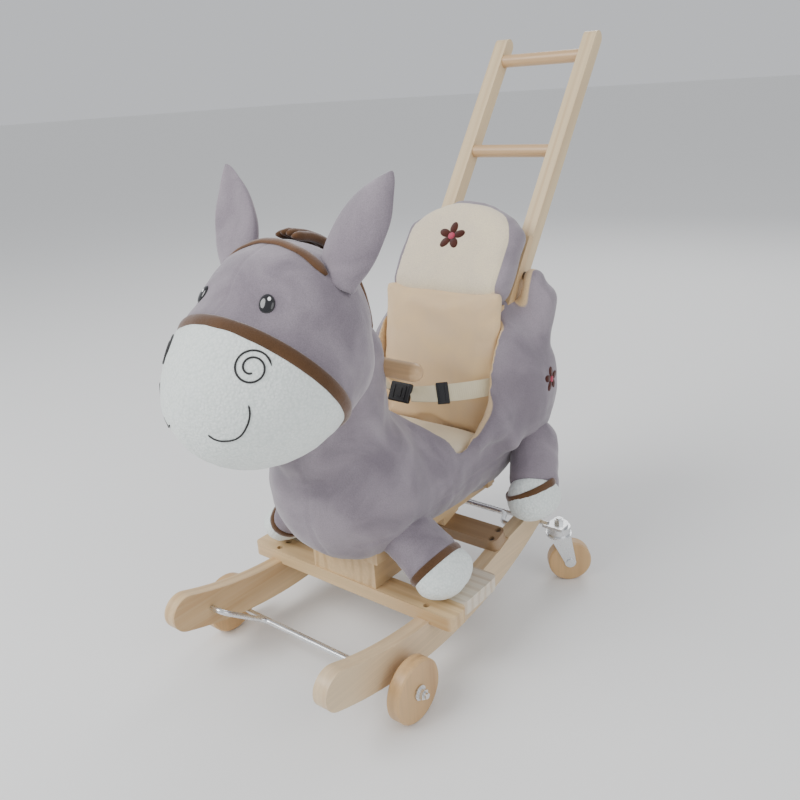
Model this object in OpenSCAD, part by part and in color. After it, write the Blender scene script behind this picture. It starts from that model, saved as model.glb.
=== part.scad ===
// Rocking horse with a plush donkey body, a bucket seat, a push handle and folding wheel frames.
// Frame: +X is the horse's left side, -Y is the way it faces, +Z is up, and the floor is Z = 0.
// The origin is on the floor, midway between the sides and under the middle of the length.
// Lengths along Y in the sections below are counted from the front axle, towards the tail.

/* [Rockers] */
// Distance between the rockers' outer faces
rocker_track = 268; // [240:1:280]
// Thickness of a rocker board
rocker_w = 19; // [16:1:22]
// Radius of the rockers' curved lower edge
rocker_r = 560; // [530:5:620]
// Distance from the front axle back to the rockers' lowest point
rocker_mid = 88; // [80:1:96]
// Length of a rocker in front of the axle
rocker_front = 114; // [108:1:125]
// Length of a rocker behind the axle
rocker_back = 342; // [336:1:350]
// Depth of the rockers' arms
rocker_h = 46; // [42:1:50]
// Radius of the rockers' rounded rear ends
tail_r = 14; // [10:1:18]

/* [Boards] */
// Distance from the front axle back to the front cross board
front_board_y = 64; // [58:1:70]
// Depth of the front cross board
front_board_d = 34; // [28:1:40]
// Length of the front cross board
front_board_l = 334; // [300:1:340]
// Thickness of the cross boards and pedals
board_t = 18; // [14:1:20]
// Distance from the front axle back to the middle of the rear cross board
rear_board_y = 231; // [215:1:240]
// Depth of the rear cross board
rear_board_d = 30; // [26:1:36]
// Length of a foot pedal
pedal_l = 76; // [60:1:80]
// Width of a foot pedal
pedal_w = 62; // [50:1:70]
// How far a pedal reaches past its rocker
pedal_out = 27; // [20:1:30]
// Radius of the boards' rounded corners
corner_r = 9; // [4:1:12]
// Length of a wood screw
screw_l = 30; // [25:1:34]
// Diameter of a wood screw's head
screw_head_d = 8; // [6:0.5:9]

/* [Wheel frames] */
// Diameter of a front wheel
wheel_d = 77; // [72:1:82]
// Thickness of a front wheel
wheel_w = 18; // [14:1:20]
// Distance between the front wheels' outer faces
wheel_track = 330; // [326:1:344]
// Diameter of the steel axle and crank rods
rod_d = 7; // [6:0.5:8]
// Distance from the front crank's pivot back to the axle, along Y
front_crank_y = 58; // [54:1:64]
// Distance from the rear crank's pivot back to the rear bar, along Y
rear_crank_y = 44; // [38:1:50]
// Distance from the front axle back to the rear bar
rear_bar_y = 334; // [330:1:338]

/* [Casters] */
// Diameter of a caster wheel
caster_d = 60; // [54:1:62]
// Thickness of a caster wheel
caster_w = 18; // [14:1:20]
// Distance between the casters' swivel axes
caster_track = 312; // [308:1:324]
// Distance of a caster wheel's centre from its swivel axis
caster_trail = 15; // [12:1:17]
// Angle that each caster is turned out from straight back
caster_turn = 52; // [0:1:60]
// Distance from the rear bar back to the swivel axes
caster_back = 10; // [8:1:12]

/* [Handle] */
// Angle of the handle from upright
handle_tilt = 35.4; // [33:0.2:37]
// Width and thickness of a handle rail
rail_w = 20; // [18:1:22]
// Gap between the rails
rail_gap = 125; // [115:1:130]
// Diameter of the handle's rungs
rung_d = 18; // [14:1:19]
// Distance between rungs
rung_pitch = 150; // [130:1:155]
// Distance from a rail's foot to the top rung, along the rail
rail_reach = 428; // [400:1:480]
// Length of a rail above the top rung
rail_over = 36; // [25:1:45]

/* [Seat] */
// Width inside the seat
seat_w = 188; // [176:1:192]
// Height of the seat board's top above the floor
seat_board_z = 217; // [214:1:222]
// Thickness of the seat cushion
seat_pad = 30; // [20:1:40]
// Thickness of the plywood boards
ply_t = 12; // [9:1:15]
// Width of the backrest
back_w = 184; // [170:1:190]
// Length of the backrest, up its slope
back_l = 136; // [125:1:145]
// Thickness of the stuffed backrest
back_t = 58; // [50:1:64]

/* [Plush body] */
// Width of the belly
belly_w = 200; // [190:1:212]
// Width over the rump
rump_w = 292; // [280:1:310]
// Width of the head
head_w = 212; // [196:1:224]
// Length of the head, from its nose to the back of the cheeks
head_l = 244; // [232:1:250]
// Depth of the head at the muzzle
muzzle_h = 190; // [176:1:200]
// Length of an ear
ear_l = 108; // [90:1:125]
// Width of an ear
ear_w = 62; // [50:1:70]
// Length of the hand bar
hand_bar_l = 224; // [216:1:240]
// Diameter of the hand bar
hand_bar_d = 22; // [18:1:24]
// Distance of a front hoof's middle from the centre plane
paw_out = 130; // [122:1:134]
// Width of the seat belt
belt_w = 25; // [20:1:30]

/* [Hidden] */
$fn = 64;

// Clearances: a running shaft, a fixed piece in its hole, a piece resting on another, and plush
run_gap = 0.05;
fit_gap = 0.05;
rest_gap = 0.3;
soft_gap = 1;
weld = 0.2;
elbow_d = 1.45 * rod_d;
elbow_cut = 0.44 * rod_d;
eps = 1;

// Wheels and rods, seen from the side as [Y, Z], with the front axle at Y = 0
axle_z = wheel_d / 2;
rest_r = rocker_r + rod_d / 2 + rest_gap;
arc_z = axle_z + sqrt(pow(rest_r, 2) - pow(rocker_mid, 2));
mid_r = rocker_r - rocker_h / 2;
top_r = rocker_r - rocker_h;
front_pivot = [-front_crank_y, on_arc(mid_r, -front_crank_y)];
rear_bar = [rear_bar_y, on_arc(rest_r, rear_bar_y)];
rear_pivot = [rear_bar_y - rear_crank_y, on_arc(mid_r, rear_bar_y - rear_crank_y)];
rocker_in = rocker_track / 2 - rocker_w;
rocker_x = rocker_track / 2 - rocker_w / 2;
pivot_depth = 12;
tail = [rocker_back - tail_r, on_arc(rocker_r - tail_r, rocker_back - tail_r)];
tail_top = [rear_board_y + rear_board_d / 2, on_arc(top_r, rear_board_y + rear_board_d / 2)];

// Boards
seat_cut = 3;
board_z = arc_z - top_r - seat_cut;
board_top = board_z + board_t;
pedal_y = front_board_y + front_board_d;
pedal_x = rocker_track / 2 + pedal_out - pedal_w / 2;
screw_d = 4;
screw_sink = 5;
screw_cone = 3;
screw_pitch = 17;
rear_cut = 1;

// Axles, nuts and casters
washer_t = 1.6;
washer_d = 2 * rod_d + 4;
nut_t = 0.8 * rod_d;
nut_d = 1.9 * rod_d;
axle_end = 4;
side_gap = 0.5;
wheel_edge = 2;
crank_in = 19;
crank_mid = 36;
lug_t = 4;
lug_z = rear_bar[1] - rod_d / 2;
lug_r = 13;
stem_d = 8;
stem_head_t = 4;
stem_nut_d = 14;
stem_nut_t = 6;
crown_t = 3;
crown_r = 18;
cup_r = 16;
cup_h = 11;
crown_z = lug_z - cup_h - crown_t - rest_gap;
leg_t = 2;
leg_top = 15;
fork_pin_d = 7;
fork_head_d = 11;
fork_end_r = 8;
caster_x = caster_track / 2;
caster_y = rear_bar_y + caster_back;

// Wooden frame inside the plush
spine_t = 18;
spine_w = rail_gap;
spine_y = [60, 325];
spine_z = board_top + 40;
block_w = 104;
chest_block_d = 56;
rear_block_d = 34;
riser_t = 18;
riser_y = [200, 250];
post = [40, 40];
hand_bar_at = [104, 376];
seat_y = [190, 279];
lower_tilt = 9;
lower_back = [283, 400];
lower_w = 170;
lower_pad = 18;

// Handle, in a frame that starts at the rails' feet and climbs along them
rail_foot = [328.6, 353.3];
rail_x = rail_gap / 2 + rail_w / 2;
rung_depth = rail_w / 2;
board_from = 25;
brace_l = 110;
brace_t = 18;
bolt_d = 6;
bolt_at = [30, 90];
back_from = 38;
back_corner = 70;
back_board_l = back_from + back_l - board_from - back_corner / 2;

// Plush body, seen from the side
chest = [90, 225];
rump = [338, 288];
head = [-20, 404];
head_tilt = 27;
skull = [12, 441];
skull_r = [100, 88, 93];
nose_band = [-95, 470];
nose_tilt = 39.4;
ear_at = [78, 24, 500];
ear_tilt = [-23, 19, 0];
ear_t = 26;
mane_w = 30;
mane_t = 9;
front_hoof = [30, 46, 28];
rear_hoof = [34, 46, 33];
rear_hoof_at = [143, 298];
belt_end = [seat_w / 2 - 4, 270, 303];
belt_mid = [18, 202, 303];
belt_t = 2;
buckle = [34, 7, 30];

// Overall length, and the front axle's place in the part's own frame
nose_reach = norm([head_l / 2 * cos(head_tilt), muzzle_h / 2 * sin(head_tilt)]) - head[0];
handle_y = rail_foot[0] + (rail_reach + rail_over - rail_w / 2) * sin(handle_tilt) + rail_w / 2;
axle_y = (nose_reach - handle_y) / 2;

// Colours
pine = [0.86, 0.74, 0.55];
dark_pine = [0.66, 0.52, 0.36];
steel = [0.72, 0.74, 0.76];
velour = [0.62, 0.58, 0.62];
terry = [0.93, 0.95, 0.93];
cream = [0.95, 0.89, 0.78];
tan = [0.90, 0.78, 0.58];
brown = [0.36, 0.22, 0.14];
webbing = [0.88, 0.84, 0.70];
black = [0.08, 0.08, 0.09];

// Height of the rockers' arc of radius r at the distance y behind the axle
function on_arc(r, y) = arc_z - sqrt(pow(r, 2) - pow(y - rocker_mid, 2));
// Front face of the lower back board at the height z
function lower_front(z) = lower_back[0] + (z - seat_board_z) * tan(lower_tilt);
// Side-view point at n behind the middle of the rails and l up from their feet
function rail_point(n, l) = rail_foot + [n * cos(handle_tilt) + l * sin(handle_tilt),
    l * cos(handle_tilt) - n * sin(handle_tilt)];

// Places its children with the front axle's line at Y = 0
module from_axle() translate([0, axle_y, 0]) children();

// Extrudes a side view, drawn as (Y, Z), along X from x to x + w
module side_view(x, w) translate([x, 0, 0]) rotate([90, 0, 90]) linear_extrude(w) children();

// Turns its children to stand on the rockers' top edge at the given distance from the axle
module on_rocker(y) translate([0, rocker_mid, arc_z])
    rotate([asin((y - rocker_mid) / top_r), 0, 0]) translate([0, 0, -top_r]) children();

// Handle frame: +Z climbs along the rails, and -Y faces the rider
module on_rails() translate([0, rail_foot[0], rail_foot[1]]) rotate([-handle_tilt, 0, 0]) children();

// A rod of length l lying along X, centred on the side-view point p
module cross_rod(p, d, l) translate([-l / 2, p[0], p[1]]) rotate([0, 90, 0]) cylinder(d = d, h = l);

// A ball stretched to half-sizes r, each made bigger by g
module ball(c, r, g) translate(c) scale([r[0] + g, r[1] + g, r[2] + g]) sphere(r = 1, $fn = 32);

// A flat board lying on Z = 0, centred on X and Y, with its four corners rounded
module rounded_board(w, d, t) translate([-w / 2, -d / 2, 0]) difference() {
    cube([w, d, t]);
    for (x = [0, 1], y = [0, 1]) translate([x * w, y * d, 0]) mirror([x, 0, 0]) mirror([0, y, 0])
        difference() {
            translate([-eps, -eps, -eps]) cube([corner_r + eps, corner_r + eps, t + 2 * eps]);
            translate([corner_r, corner_r, -2 * eps]) cylinder(r = corner_r, h = t + 4 * eps);
        }
}

// A wood screw sunk into a board whose top is Z = 0, and the hole that holds it
module screw(g) {
    translate([0, 0, -screw_sink - screw_cone])
        cylinder(d1 = screw_d + 2 * g, d2 = screw_head_d + 2 * g, h = screw_cone);
    translate([0, 0, -screw_sink - screw_l - g]) cylinder(d = screw_d + 2 * g, h = screw_l);
}
module screw_hole() {
    screw(fit_gap);
    translate([0, 0, -screw_sink]) cylinder(d = screw_head_d + 2 * fit_gap, h = screw_sink + eps);
}

// Where the screws stand: two at each end of both cross boards, and two in each pedal
module at_front_screws() for (x = [-rocker_x, rocker_x], y = [-screw_pitch, screw_pitch])
    translate([x, front_board_y + (front_board_d + y) / 2, board_top]) children();
module at_rear_screws() for (x = [-rocker_x, rocker_x], y = [-screw_pitch, screw_pitch])
    on_rocker(rear_board_y) translate([x, y / 2, board_t - rear_cut]) children();
module at_pedal_screws() for (x = [-rocker_x, rocker_x], y = [1, 3])
    translate([x, pedal_y + y * pedal_l / 4, board_top]) children();

// Rocker: an arc of board with round tips, flats for the boards and blind holes for the cranks
module rocker_side() {
    front_a = asin((rocker_front - rocker_h / 2 + rocker_mid) / mid_r);
    tail_a = asin((tail[0] - rocker_mid) / (rocker_r - tail_r));
    tail_v = tail - tail_top;
    difference() {
        translate([rocker_mid, arc_z]) intersection() {
            difference() {
                circle(r = rocker_r);
                circle(r = top_r);
            }
            polygon([[0, 0], [-2 * rocker_r * tan(front_a), -2 * rocker_r],
                [2 * rocker_r * tan(tail_a), -2 * rocker_r]]);
        }
        translate(tail_top) rotate(atan2(tail_v[1], tail_v[0]) + asin(tail_r / norm(tail_v)))
            square([rocker_back, rocker_h]);
    }
    translate([rocker_mid, arc_z]) rotate(-front_a) translate([0, -mid_r]) circle(d = rocker_h);
    translate(tail) circle(r = tail_r);
}
module rocker(side) color(pine) from_axle() difference() {
    side_view(side * rocker_x - rocker_w / 2, rocker_w) difference() {
        rocker_side();
        translate([front_board_y - fit_gap, board_z])
            square([front_board_d + pedal_l + 2 * fit_gap, rocker_h]);
    }
    on_rocker(rear_board_y)
        translate([-rocker_track, -rear_board_d / 2 - fit_gap, -rear_cut])
            cube([2 * rocker_track, rear_board_d + 2 * fit_gap, rocker_h]);
    for (p = [front_pivot, rear_pivot])
        cross_rod(p, rod_d + 2 * run_gap, 2 * (rocker_in + pivot_depth));
    at_front_screws() screw_hole();
    at_rear_screws() screw_hole();
    at_pedal_screws() screw_hole();
}
module rocker_left() rocker(1);
module rocker_right() rocker(-1);

// Boards across the rockers, and the pedals behind the front one
module front_cross_board() color(pine) from_axle() difference() {
    translate([0, front_board_y + front_board_d / 2, board_z])
        rounded_board(front_board_l, front_board_d, board_t);
    at_front_screws() screw_hole();
}
module rear_cross_board() color(dark_pine) from_axle() difference() {
    on_rocker(rear_board_y) translate([0, 0, -rear_cut])
        rounded_board(rocker_track - 2, rear_board_d, board_t);
    at_rear_screws() screw_hole();
}
module pedal(side) color(pine) from_axle() difference() {
    translate([side * pedal_x, pedal_y + pedal_l / 2, board_z])
        rounded_board(pedal_w, pedal_l, board_t);
    at_pedal_screws() screw_hole();
}
module pedal_left() pedal(1);
module pedal_right() pedal(-1);
module board_screws() color(steel) from_axle() {
    at_front_screws() screw(0);
    at_rear_screws() screw(0);
    at_pedal_screws() screw(0);
}

// Blocks that carry the spine board on the two cross boards
module chest_block() color(pine) from_axle()
    translate([-block_w / 2, front_board_y + 2, board_top])
        cube([block_w, chest_block_d, spine_z - board_top]);
module rear_block() color(pine) from_axle() difference() {
    translate([-block_w / 2, rear_board_y - rear_block_d / 2, board_z])
        cube([block_w, rear_block_d, spine_z - board_z]);
    on_rocker(rear_board_y)
        translate([-rocker_track, -rocker_track, board_t - rear_cut - 2 * rocker_track])
            cube(2 * rocker_track);
}

// Wooden frame inside the plush: spine, post, seat supports, and the boards behind the rider
module spine_board() color(pine) from_axle() translate([-spine_w / 2, spine_y[0], spine_z])
    cube([spine_w, spine_y[1] - spine_y[0], spine_t]);
module head_post() color(pine) from_axle() difference() {
    translate([-post[0] / 2, hand_bar_at[0] - post[1] / 2, spine_z + spine_t])
        cube([post[0], post[1], hand_bar_at[1] + post[0] - spine_z - spine_t]);
    cross_rod(hand_bar_at, hand_bar_d + 2 * fit_gap, 2 * post[0]);
}
module hand_bar() color(pine) from_axle() {
    cross_rod(hand_bar_at, hand_bar_d, hand_bar_l - hand_bar_d);
    for (x = [-1, 1]) translate([x * (hand_bar_l - hand_bar_d) / 2, hand_bar_at[0], hand_bar_at[1]])
        sphere(d = hand_bar_d);
}
module seat_risers() color(pine) from_axle()
    for (y = riser_y) translate([-spine_w / 2, y, spine_z + spine_t])
        cube([spine_w, riser_t, seat_board_z - ply_t - spine_z - spine_t]);
module seat_board() color(pine) from_axle()
    translate([2 - seat_w / 2, seat_y[0], seat_board_z - ply_t])
        cube([seat_w - 4, seat_y[1] - seat_y[0], ply_t]);
module lower_back_board() color(pine) from_axle() side_view(-lower_w / 2, lower_w)
    lower_slab(0, ply_t, spine_z + spine_t, lower_back[1]);
module back_board() color(pine) from_axle() difference() {
    on_rails() translate([-lower_w / 2, -rail_w / 2 - ply_t, board_from])
        cube([lower_w, ply_t, back_board_l]);
    handle_bolt_holes();
}

// Side view of a slab parallel to the lower back board, from n to n + t behind its front face
module lower_slab(n, t, z0, z1) {
    k = cos(lower_tilt);
    polygon([for (c = [[n, z0], [n + t, z0], [n + t, z1], [n, z1]]) [lower_front(c[1]) + c[0] / k, c[1]]]);
}

// Braces that stand on the spine behind the lower back board and hold the rails by their bolts
module brace_side(g = 0) offset(delta = g) polygon([
    [lower_front(spine_z + spine_t) + ply_t / cos(lower_tilt), spine_z + spine_t],
    [spine_y[1] - 1, spine_z + spine_t],
    rail_point(rail_w / 2, 0), rail_point(rail_w / 2, brace_l),
    rail_point(-rail_w / 2, brace_l), rail_point(-rail_w / 2, 0),
    [lower_front(rail_foot[1]) + ply_t / cos(lower_tilt), rail_foot[1]]]);
module brace(side) color(pine) from_axle() difference() {
    side_view(side * (rail_gap - brace_t) / 2 - brace_t / 2, brace_t) brace_side();
    handle_bolt_holes();
}
module brace_left() brace(1);
module brace_right() brace(-1);

// Handle: two rails with rounded tops, and round rungs glued into them
module rail(side) color(pine) from_axle() difference() {
    on_rails() translate([side * rail_x - rail_w / 2, 0, 0]) {
        translate([0, -rail_w / 2, 0]) cube([rail_w, rail_w, rail_reach + rail_over - rail_w / 2]);
        translate([0, 0, rail_reach + rail_over - rail_w / 2]) rotate([0, 90, 0])
            cylinder(d = rail_w, h = rail_w);
    }
    on_rails() at_rungs() cross_rod([0, 0], rung_d + 2 * fit_gap, rail_gap + 2 * (rung_depth + fit_gap));
    handle_bolt_holes();
}
module rail_left() rail(1);
module rail_right() rail(-1);
module at_rungs() for (k = [0:2]) translate([0, 0, rail_reach - k * rung_pitch]) children();
module handle_rungs() color(pine) from_axle() on_rails() at_rungs()
    cross_rod([0, 0], rung_d, rail_gap + 2 * rung_depth);

// Bolts along X through each rail and its brace
module at_handle_bolts() on_rails() for (z = bolt_at, side = [-1, 1])
    translate([side * (rail_gap / 2 + rail_w), 0, z]) rotate([0, -90 * side, 0]) children();
module handle_bolts() color(steel) from_axle() at_handle_bolts() {
    translate([0, 0, -3]) cylinder(d = 2 * bolt_d, h = 3);
    cylinder(d = bolt_d, h = rail_w + brace_t);
    translate([0, 0, rail_w + brace_t]) cylinder(d = 2 * bolt_d, h = 5, $fn = 6);
}
module handle_bolt_holes() at_handle_bolts()
    translate([0, 0, -eps]) cylinder(d = bolt_d + 2 * fit_gap, h = rail_w + brace_t + 2 * eps);

// Outline of the stuffed backrest in the handle frame, with half-size g added all round
module back_shape(g) on_rails() translate([0, g - rail_w / 2, 0]) rotate([90, 0, 0])
    linear_extrude(back_t + 2 * g) {
        translate([-back_w / 2 - g, back_from - g])
            square([back_w + 2 * g, back_l - back_corner + g]);
        translate([-back_w / 2 + back_corner, back_from + back_l - back_corner])
            square([back_w - 2 * back_corner, back_corner + g]);
        for (x = [-1, 1]) translate([x * (back_w / 2 - back_corner), back_from + back_l - back_corner])
            circle(r = back_corner + g);
    }
module backrest_plush() color(velour) from_axle() difference() {
    back_shape(0);
    inner_frame();
    side_view(-rocker_track, 2 * rocker_track)
        lower_slab(-rocker_track, rocker_track + ply_t + soft_gap, 0, lower_back[1] + soft_gap);
}

// Space that the wooden frame takes up inside the plush
module inner_frame() {
    g = soft_gap;
    translate([-spine_w / 2 - g, spine_y[0] - g, 0])
        cube([spine_w + 2 * g, spine_y[1] - spine_y[0] + 2 * g, spine_z + spine_t + g]);
    translate([-post[0] / 2 - g, hand_bar_at[0] - post[1] / 2 - g, spine_z])
        cube([post[0] + 2 * g, post[1] + 2 * g, hand_bar_at[1] + post[0] + g - spine_z]);
    cross_rod(hand_bar_at, hand_bar_d + 2 * g, hand_bar_l + hand_bar_d);
    translate([-spine_w / 2 - g, riser_y[0] - g, spine_z])
        cube([spine_w + 2 * g, riser_y[1] + riser_t - riser_y[0] + 2 * g, seat_board_z - spine_z]);
    side_view(-lower_w / 2 - g, lower_w + 2 * g)
        lower_slab(-g, ply_t + 2 * g, spine_z, lower_back[1] + g);
    for (side = [-1, 1])
        side_view(side * (rail_gap - brace_t) / 2 - brace_t / 2 - g, brace_t + 2 * g) brace_side(g);
    on_rails() {
        for (side = [-1, 1]) {
            translate([side * rail_x - rail_w / 2 - g - 4, -rail_w / 2 - g, -g])
                cube([rail_w + 2 * g + 8, rail_w + 2 * g, rail_reach]);
            translate([side * (rail_gap - brace_t) / 2 - brace_t / 2 - g - 6, -rail_w / 2 - g, 0])
                cube([brace_t + 2 * g + 12, rail_w + 2 * g, brace_l + g]);
        }
        translate([-lower_w / 2 - g, -rail_w / 2 - ply_t - g, board_from - g])
            cube([lower_w + 2 * g, ply_t + 2 * g, back_board_l + 2 * g]);
        at_rungs() cross_rod([0, 0], rung_d + 2 * g, rail_gap);
    }
}

// Head: a long ball tilted nose-down with a rounder skull, cut in two by the nose band
module head_solid(g) hull() {
    translate([0, head[0], head[1]]) rotate([head_tilt, 0, 0])
        ball([0, 0, 0], [head_w / 2, head_l / 2, muzzle_h / 2], g);
    ball([0, skull[0], skull[1]], skull_r, g);
}
module nose_side(g) translate([0, nose_band[0], nose_band[1]]) rotate([nose_tilt, 0, 0])
    translate([-rocker_track, -2 * rocker_track, -rocker_track - g]) cube(2 * rocker_track);
module head_plush() color(velour) from_axle() difference() {
    head_solid(0);
    nose_side(0);
    inner_frame();
}
module muzzle_plush() color(terry) from_axle() difference() {
    intersection() {
        head_solid(0);
        nose_side(-soft_gap / 2);
    }
    inner_frame();
}
module ear(side) color(velour) from_axle() difference() {
    mirror([side > 0 ? 0 : 1, 0, 0]) translate(ear_at) rotate(ear_tilt)
        ball([0, 0, ear_l / 2], [ear_w / 2, ear_t / 2, ear_l / 2], 0);
    head_solid(soft_gap);
}
module ear_left() ear(1);
module ear_right() ear(-1);

// Mane: a padded strip from the crown down the back of the neck
module mane() color(brown) from_axle() difference() {
    intersection() {
        union() {
            head_solid(mane_t);
            neck(mane_t);
        }
        translate([-mane_w / 2, skull[0], hand_bar_at[1] + hand_bar_d])
            cube([mane_w, rocker_track, rocker_track]);
    }
    head_solid(soft_gap / 2);
    neck(soft_gap / 2);
    inner_frame();
}

// Body: chest, belly, neck, rump and the two wings beside the seat
module neck(g) hull() {
    ball([0, 62, 300], [72, 72, 72], g);
    ball([0, 56, 372], [78, 78, 78], g);
}
module chest_ball(g) ball([0, chest[0], chest[1]], [belly_w / 2, 95, 100], g);
module rump_ball(g) ball([0, rump[0], rump[1]], [rump_w / 2, 100, 136], g);
module belly(g) hull() {
    ball([0, 95, 215], [belly_w / 2 - 2, 92, 88], g);
    ball([0, 300, 215], [belly_w / 2 + 5, 100, 90], g);
}
module wing(side) hull() {
    ball([side * 107, 362, 372], [13, 13, 13], 0);
    ball([side * 104, 302, 303], [11, 11, 11], 0);
    ball([side * 102, 228, 240], [9, 9, 9], 0);
    ball([side * 124, 372, 330], [20, 20, 20], 0);
    ball([side * 106, 290, 232], [20, 20, 20], 0);
}
module seat_space() side_view(-seat_w / 2, seat_w) polygon([
    [seat_y[0] - soft_gap, seat_board_z - ply_t - soft_gap],
    [lower_front(seat_board_z - ply_t), seat_board_z - ply_t - soft_gap],
    [lower_front(lower_back[1]), lower_back[1]],
    [lower_back[0] + rocker_track, seat_board_z + rocker_track],
    [seat_y[0] - soft_gap, seat_board_z + rocker_track]]);
module body_plush() color(velour) from_axle() difference() {
    union() {
        chest_ball(0);
        belly(0);
        rump_ball(0);
        neck(0);
        wing(1);
        wing(-1);
    }
    seat_space();
    inner_frame();
    back_shape(soft_gap);
    head_solid(soft_gap);
}

// Legs: flat paws at the front that lie on the board, and round ones over the rockers' tails
module front_hoof_ball(side, g)
    ball([side * paw_out, hand_bar_at[0], board_top + front_hoof[2] + 2 * rest_gap], front_hoof, g);
module front_leg(side) color(velour) from_axle() difference() {
    hull() {
        ball([side * 64, hand_bar_at[0], 178], [28, 42, 32], 0);
        ball([side * (paw_out - 14), hand_bar_at[0], board_top + 38], [27, 42, 27], 0);
    }
    chest_ball(soft_gap);
    belly(soft_gap);
    front_hoof_ball(side, soft_gap);
    inner_frame();
}
module front_leg_left() front_leg(1);
module front_leg_right() front_leg(-1);
module front_hoof_left() color(terry) from_axle() front_hoof_ball(1, 0);
module front_hoof_right() color(terry) from_axle() front_hoof_ball(-1, 0);
module rear_hoof_ball(side, g)
    ball([side * rear_hoof_at[0], rear_hoof_at[1], 114 + rear_hoof[2]], rear_hoof, g);
module rear_leg(side) color(velour) from_axle() difference() {
    hull() {
        ball([side * 116, 345, 205], [34, 34, 34], 0);
        ball([side * 138, 308, 166], [34, 38, 32], 0);
    }
    belly(soft_gap);
    rump_ball(soft_gap);
    rear_hoof_ball(side, soft_gap);
}
module rear_leg_left() rear_leg(1);
module rear_leg_right() rear_leg(-1);
module rear_hoof_left() color(terry) from_axle() rear_hoof_ball(1, 0);
module rear_hoof_right() color(terry) from_axle() rear_hoof_ball(-1, 0);

// Seat cushion and the padded panel behind it
module seat_cushion() color(cream) from_axle() side_view(soft_gap - seat_w / 2, seat_w - 2 * soft_gap)
    polygon([[seat_y[0], seat_board_z], [lower_front(seat_board_z) - lower_pad - 3, seat_board_z],
        [lower_front(seat_board_z + seat_pad) - lower_pad - 3, seat_board_z + seat_pad],
        [seat_y[0], seat_board_z + seat_pad]]);
module back_cushion() color(tan) from_axle() difference() {
    side_view(soft_gap - seat_w / 2, seat_w - 2 * soft_gap)
        lower_slab(-lower_pad, lower_pad, seat_board_z, lower_back[1]);
    back_shape(soft_gap);
}

// Lap belt: flat webbing from each wing to the buckle in the middle
module belt(side) color(webbing) from_axle() {
    a = [side * belt_mid[0], belt_mid[1], belt_mid[2]];
    v = [side * belt_end[0], belt_end[1], belt_end[2]] - a;
    translate(a) rotate([0, 0, atan2(v[1], v[0])]) translate([0, -belt_t / 2, -belt_w / 2])
        cube([norm(v), belt_t, belt_w]);
}
module belt_left() belt(1);
module belt_right() belt(-1);
module belt_buckle() color(black) from_axle()
    translate([-buckle[0] / 2, belt_mid[1] - buckle[1] / 2, belt_mid[2] - buckle[2] / 2]) cube(buckle);

// Front wheel frame: axle with nuts, and the crank welded along it that turns in the rockers
module crank(pivot, axle) {
    v = axle - pivot;
    drop = norm(v) - rod_d + weld;
    turn = atan2(drop, crank_mid - crank_in);
    x = [rocker_in - crank_mid, rocker_in - crank_in, rocker_in + pivot_depth - rest_gap];
    translate([0, pivot[0], pivot[1]]) rotate([atan2(v[1], v[0]), 0, 0]) {
        cross_rod([drop, 0], rod_d, 2 * (x[0] - elbow_cut));
        for (m = [0, 1]) mirror([m, 0, 0]) {
            translate([x[0], drop, 0]) sphere(d = elbow_d);
            translate([x[0] + elbow_cut * cos(turn), drop - elbow_cut * sin(turn), 0])
                rotate([0, 90, -turn])
                    cylinder(d = rod_d, h = norm([x[1] - x[0], drop]) - 2 * elbow_cut);
            translate([x[1], 0, 0]) sphere(d = elbow_d);
            translate([x[1] + elbow_cut, 0, 0]) rotate([0, 90, 0])
                cylinder(d = rod_d, h = x[2] - x[1] - elbow_cut);
        }
    }
}
module front_crank() color(steel) from_axle() crank(front_pivot, [0, axle_z]);
module front_axle() color(steel) from_axle()
    cross_rod([0, axle_z], rod_d, wheel_track + 2 * (side_gap + washer_t + nut_t + axle_end));
module at_wheels() for (side = [-1, 1]) translate([side * (wheel_track - wheel_w) / 2, 0, axle_z])
    rotate([0, 90 * side, 0]) children();
module washer_ring() difference() {
    cylinder(d = washer_d, h = washer_t);
    translate([0, 0, -eps]) cylinder(d = rod_d + 2 * fit_gap, h = washer_t + 2 * eps);
}
module axle_washers() color(steel) from_axle() at_wheels() {
    translate([0, 0, wheel_w / 2 + side_gap]) washer_ring();
    translate([0, 0, -wheel_w / 2 - side_gap - washer_t]) washer_ring();
}
module axle_nuts() color(steel) from_axle() at_wheels()
    translate([0, 0, wheel_w / 2 + side_gap + washer_t]) difference() {
        cylinder(d = nut_d, h = nut_t, $fn = 6);
        translate([0, 0, -eps]) cylinder(d = rod_d + 2 * fit_gap, h = nut_t + 2 * eps);
    }
module front_wheel(side) color(pine) from_axle()
    translate([side * (wheel_track - wheel_w) / 2 - wheel_w / 2, 0, axle_z]) rotate([0, 90, 0])
        wheel(wheel_d, wheel_w, rod_d);
module front_wheel_left() front_wheel(1);
module front_wheel_right() front_wheel(-1);

// A turned wooden wheel with eased edges and a running bore
module wheel(d, w, pin) difference() {
    rotate_extrude() polygon([[0, 0], [d / 2 - wheel_edge, 0], [d / 2, wheel_edge],
        [d / 2, w - wheel_edge], [d / 2 - wheel_edge, w], [0, w]]);
    translate([0, 0, -eps]) cylinder(d = pin + 2 * run_gap, h = w + 2 * eps);
}

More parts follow.
